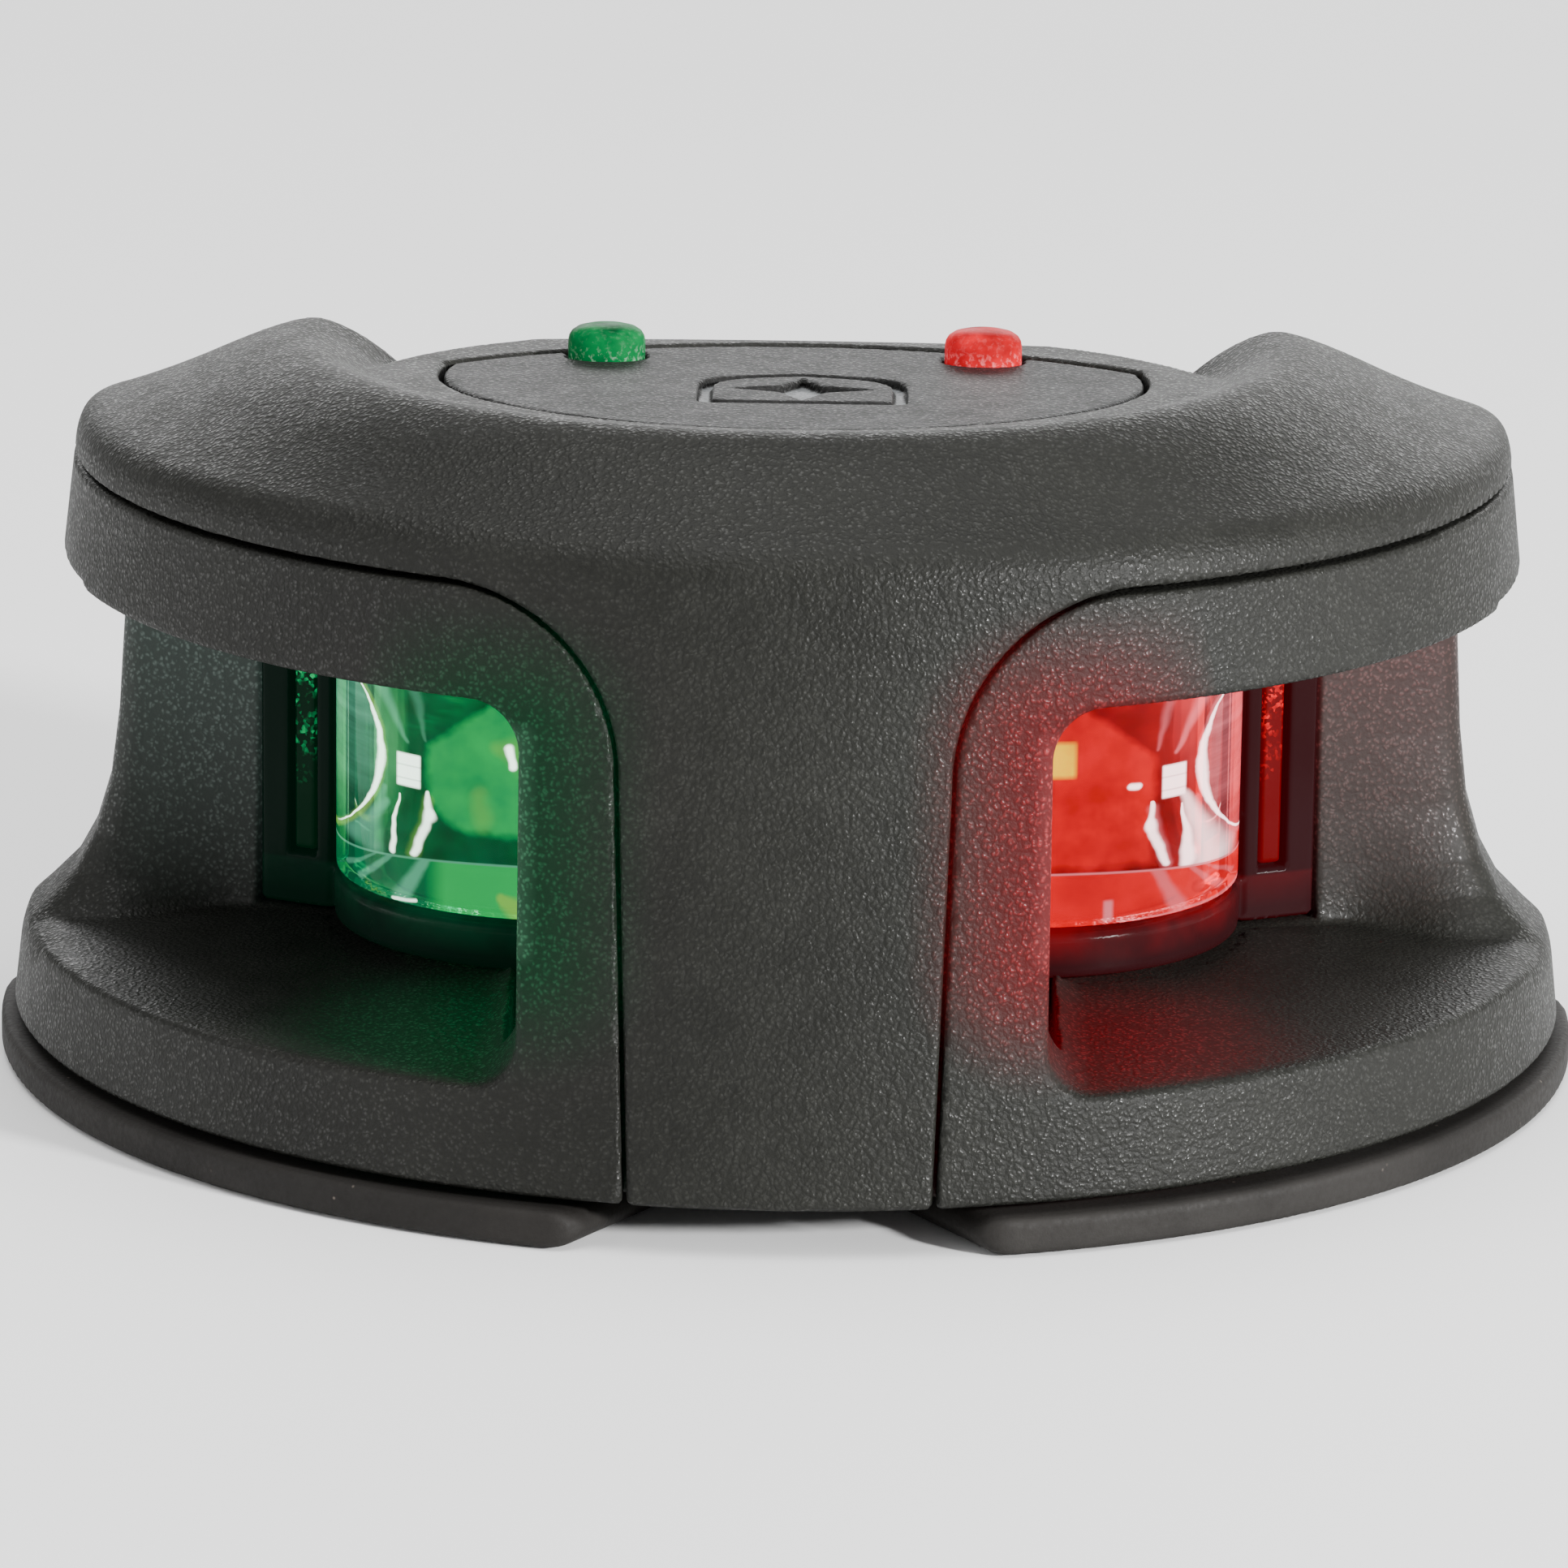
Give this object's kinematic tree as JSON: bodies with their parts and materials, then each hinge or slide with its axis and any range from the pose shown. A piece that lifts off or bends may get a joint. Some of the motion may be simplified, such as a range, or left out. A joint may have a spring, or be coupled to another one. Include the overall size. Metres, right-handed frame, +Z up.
{
  "type": "bow navigation light",
  "caption": "Deck-mounted two-colour bow light with green and red side windows under a lift-off charcoal cover.",
  "frame": {"origin": "centre of the bounding box in plan, at the underside of the gasket", "axes": "+X towards the red (port) side, the longest extent; -Y dead ahead; +Z up"},
  "size_m": [0.0888, 0.0632, 0.0408],
  "materials": {
    "charcoal_plastic": "fine pebble grain",
    "plate_plastic": "fine matte",
    "rubber": "matte moulded",
    "black_plastic": "satin",
    "clear_lens": "clear polished",
    "green_optic": "clear tinted",
    "red_optic": "clear tinted",
    "reflector": "plated",
    "laminate": "board laminate",
    "led_package": "encapsulated",
    "steel": "stainless",
    "green_wire": "wire insulation",
    "red_wire": "wire insulation"
  },
  "bodies": {
    "housing_body": {"gasket": "rubber", "base_plate": "black_plastic", "housing": "charcoal_plastic", "indicator_plate": "plate_plastic", "green_indicator_pipe": "green_optic", "red_indicator_pipe": "red_optic", "wire_grommet": "rubber", "driver_board": "laminate", "green_lead": "green_wire", "red_lead": "red_wire", "starboard_lens": "clear_lens", "starboard_lens_seal": "black_plastic", "starboard_edge_strip": "green_optic", "starboard_inner_optic": "green_optic", "starboard_reflector": "reflector", "starboard_led_board": "laminate", "starboard_led": "led_package", "port_lens": "clear_lens", "port_lens_seal": "black_plastic", "port_edge_strip": "red_optic", "port_inner_optic": "red_optic", "port_reflector": "reflector", "port_led_board": "laminate", "port_led": "led_package", "base_plate_screw_1": "steel", "base_plate_screw_2": "steel", "base_plate_screw_3": "steel", "base_plate_screw_4": "steel"},
    "cover_body": {"cover": "charcoal_plastic"}
  },
  "joints": [
    {"name": "cover_lift", "type": "slide", "parent": "housing_body", "child": "cover_body", "axis": [0, 0, 1], "range_m": [0, 0.045]}
  ]
}
